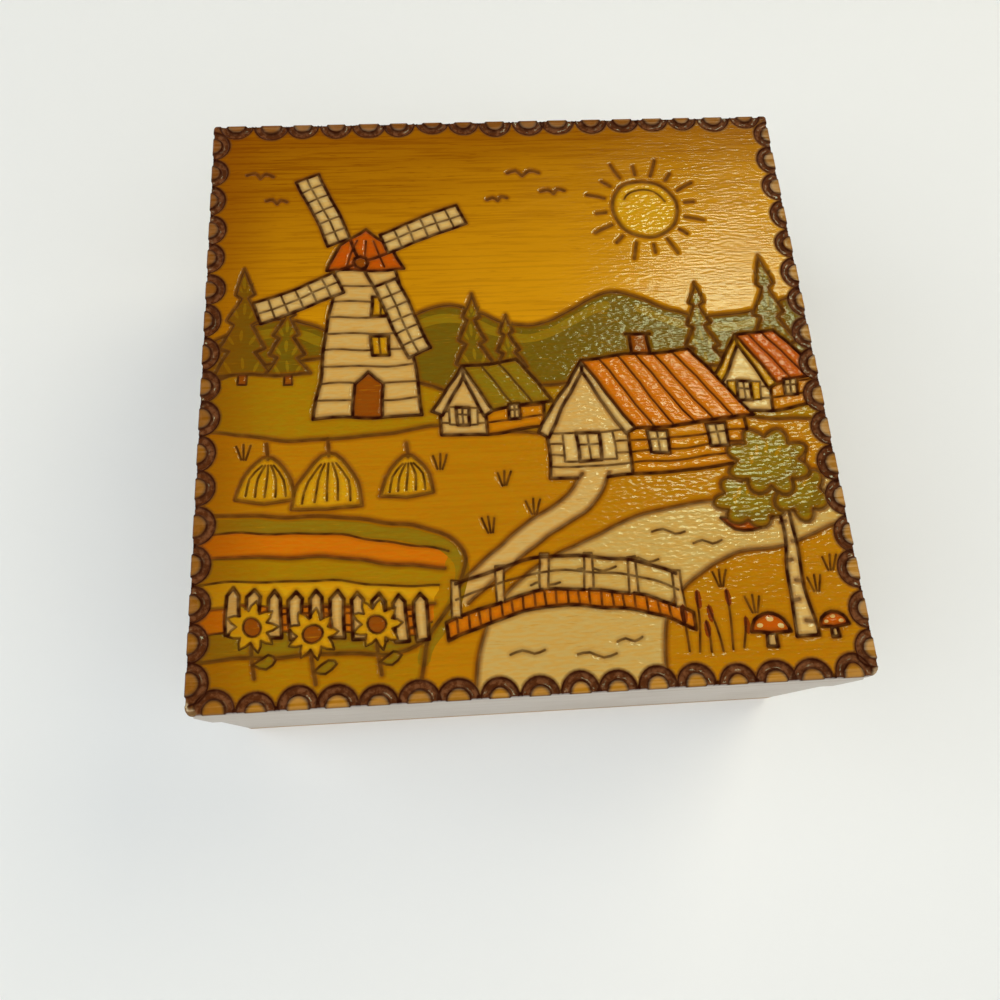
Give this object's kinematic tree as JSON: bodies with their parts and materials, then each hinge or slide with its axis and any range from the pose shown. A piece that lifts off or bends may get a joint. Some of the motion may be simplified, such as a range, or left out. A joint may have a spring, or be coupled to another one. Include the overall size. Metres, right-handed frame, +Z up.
{
  "type": "hinged wooden keepsake box",
  "caption": "Square wooden keepsake box with a deep hinged lid, a burnt and painted picture on the lid board and a border of stamped half rings along its edges.",
  "frame": {"origin": "on the table under the middle of the lid board, at the underside of the bottom panel", "axes": "+Z up, -Y towards the front, +Y towards the hinges, +X to the right seen from the front"},
  "size_m": [0.14, 0.1441, 0.068],
  "materials": {
    "varnished_wood": "amber stain under gloss varnish, burnt and painted",
    "pale_wood": "bare sanded wood",
    "plywood": "bare plywood",
    "brass": "dull pressed brass",
    "steel": "dull drawn wire"
  },
  "bodies": {
    "box": {"front_wall": "pale_wood", "back_wall": "pale_wood", "left_wall": "pale_wood", "right_wall": "pale_wood", "bottom_panel": "plywood", "bottom_brad_1": "steel", "bottom_brad_2": "steel", "bottom_brad_3": "steel", "bottom_brad_4": "steel", "bottom_brad_5": "steel", "bottom_brad_6": "steel", "bottom_brad_7": "steel", "bottom_brad_8": "steel", "left_hinge_box_leaf": "brass", "right_hinge_box_leaf": "brass", "left_hinge_pin": "steel", "right_hinge_pin": "steel", "left_hinge_box_nail_1": "brass", "left_hinge_box_nail_2": "brass", "right_hinge_box_nail_1": "brass", "right_hinge_box_nail_2": "brass"},
    "lid": {"lid_board": "varnished_wood", "lid_rim_front": "pale_wood", "lid_rim_back": "pale_wood", "lid_rim_left": "pale_wood", "lid_rim_right": "pale_wood", "left_hinge_lid_leaf": "brass", "right_hinge_lid_leaf": "brass", "left_hinge_lid_nail_1": "brass", "left_hinge_lid_nail_2": "brass", "right_hinge_lid_nail_1": "brass", "right_hinge_lid_nail_2": "brass"}
  },
  "joints": [
    {"name": "lid_hinge", "type": "hinge", "parent": "box", "child": "lid", "pos_m": [0, 0.0722, 0.0437], "axis": [-1, 0, 0], "range_deg": [0, 180]}
  ]
}
